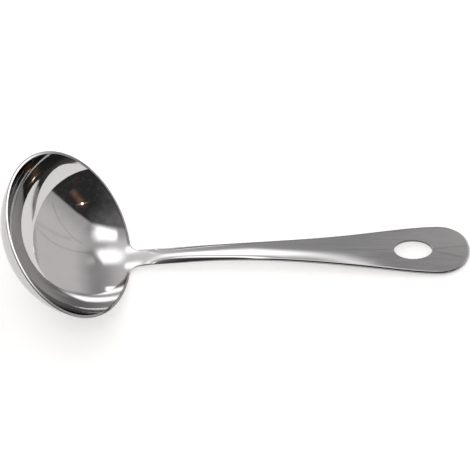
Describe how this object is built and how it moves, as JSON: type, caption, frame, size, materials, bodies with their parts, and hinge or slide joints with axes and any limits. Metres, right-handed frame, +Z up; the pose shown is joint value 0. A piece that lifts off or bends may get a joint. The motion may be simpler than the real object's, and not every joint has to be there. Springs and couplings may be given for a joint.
{
  "type": "gravy ladle",
  "caption": "Stainless steel gravy ladle: a round part-spherical bowl and a flat tapering handle with an oval hanging hole, formed from one sheet.",
  "frame": {"origin": "On the surface that the ladle lies on, under the middle of its bounding box.", "axes": "+X from the bowl to the tip of the handle, +Y across it, +Z up; the ladle lies on its bowl and the tip of its handle."},
  "size_m": [0.1776, 0.067, 0.0533],
  "materials": {
    "stainless_steel": "bowl polished to a mirror, handle brushed lengthwise"
  },
  "bodies": {
    "root": {"ladle": "stainless_steel"}
  },
  "joints": []
}
